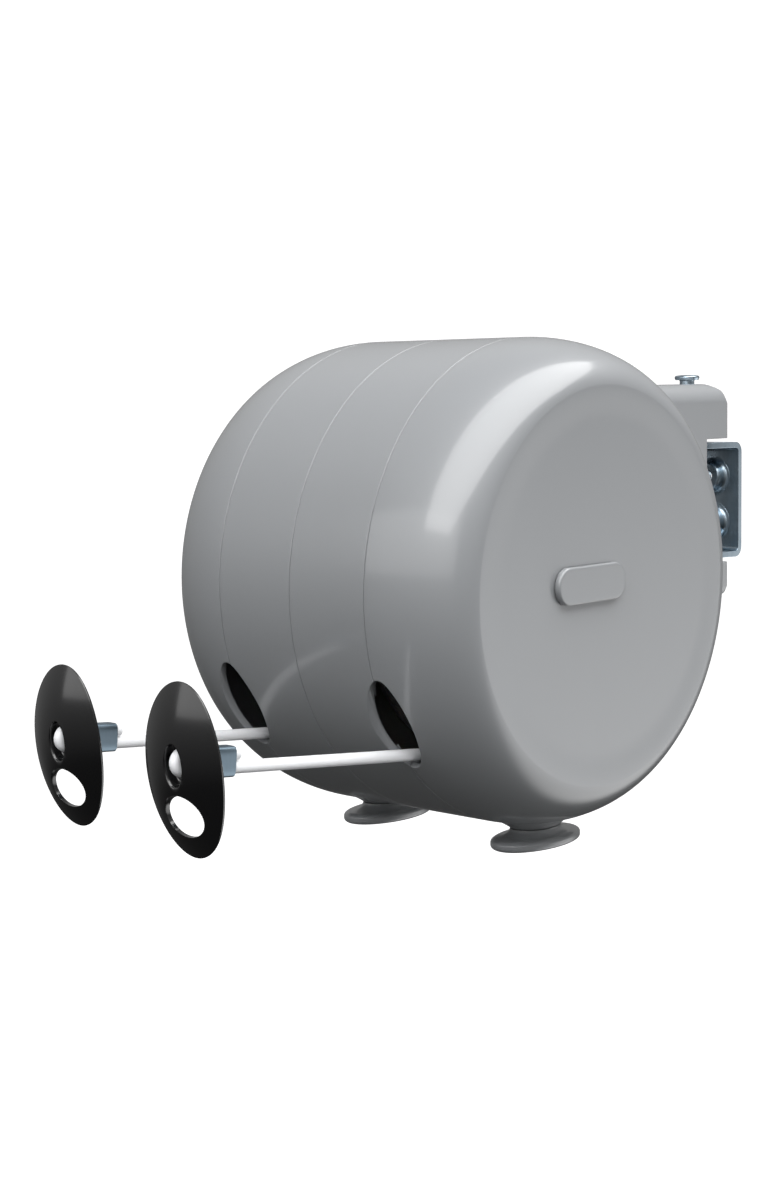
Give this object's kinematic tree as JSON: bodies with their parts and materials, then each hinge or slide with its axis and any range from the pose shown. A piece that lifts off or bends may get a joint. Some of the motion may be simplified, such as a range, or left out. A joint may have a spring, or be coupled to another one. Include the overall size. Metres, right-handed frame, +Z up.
{
  "type": "retractable clothesline",
  "caption": "Wall-mounted retractable clothesline: a drum-shaped casing on a swivelling bracket, with spring reels, pull handles and cleats to jam the lines under.",
  "frame": {"origin": "middle of the wall bracket's flat back face, on the wall's plane", "axes": "+Y into the wall, +Z up along the hinge pin, +X to the right as seen by someone facing the wall; the lines pull out towards -Y"},
  "size_m": [0.1482, 0.3586, 0.1889],
  "materials": {
    "casing": "glossy mid grey, moulded",
    "black": "glossy black, moulded",
    "nylon": "natural nylon",
    "zinc": "bright zinc plated",
    "spring_steel": "blued spring steel",
    "line": "smooth white PVC over a fibre core"
  },
  "bodies": {
    "bracket": {"wall_bracket": "zinc", "hinge_washer": "nylon"},
    "hinge_pin": {"hinge_pin": "zinc"},
    "casing": {"end_cap_right": "casing", "end_cap_left": "casing", "centre_shell_right": "casing", "centre_shell_left": "casing", "end_badge_right": "casing", "end_badge_left": "casing", "line_cleat_right": "casing", "line_cleat_left": "casing", "centre_divider": "nylon", "shell_screw_1": "zinc", "shell_screw_2": "zinc", "shell_screw_3": "zinc", "shell_screw_4": "zinc", "axle": "zinc", "axle_ring_right": "spring_steel", "axle_ring_left": "spring_steel", "spring_arbor_right": "spring_steel", "spring_arbor_left": "spring_steel"},
    "reel_right": {"reel_drum_right": "nylon", "reel_flange_right": "nylon", "inner_bush_right": "black", "outer_bush_right": "black", "mainspring_right": "spring_steel", "wound_line_right": "line"},
    "reel_left": {"reel_drum_left": "nylon", "reel_flange_left": "nylon", "inner_bush_left": "black", "outer_bush_left": "black", "mainspring_left": "spring_steel", "wound_line_left": "line"},
    "line_right": {"pull_line_right": "line", "ferrule_right": "zinc", "pull_handle_right": "black"},
    "line_left": {"pull_line_left": "line", "ferrule_left": "zinc", "pull_handle_left": "black"}
  },
  "joints": [
    {"name": "hinge_pin_lift", "type": "slide", "parent": "bracket", "child": "hinge_pin", "axis": [0, 0, 1], "range_m": [0, 0.1]},
    {"name": "casing_swivel", "type": "hinge", "parent": "bracket", "child": "casing", "pos_m": [0, -0.0228, 0], "axis": [0, 0, 1], "range_deg": [-60, 60]},
    {"name": "reel_right_spin", "type": "hinge", "parent": "casing", "child": "reel_right", "pos_m": [0.0377, -0.1793, -0.02], "axis": [-1, 0, 0], "range_deg": [-72, 13800], "stiffness_Nm_per_rad": 0.0013},
    {"name": "reel_left_spin", "type": "hinge", "parent": "casing", "child": "reel_left", "pos_m": [-0.0377, -0.1793, -0.02], "axis": [-1, 0, 0], "range_deg": [-59, 13800], "stiffness_Nm_per_rad": 0.0013},
    {"name": "line_right_pull", "type": "slide", "parent": "casing", "child": "line_right", "axis": [0, -0.9945, 0.1045], "range_m": [-0.078, 14.9]},
    {"name": "line_left_pull", "type": "slide", "parent": "casing", "child": "line_left", "axis": [0, -0.9954, 0.0958], "range_m": [-0.064, 14.9]}
  ],
  "couplings": [
    {"joint": "line_right_pull", "follows": "reel_right_spin", "m_per_rad": 0.0618},
    {"joint": "line_left_pull", "follows": "reel_left_spin", "m_per_rad": 0.0618}
  ]
}
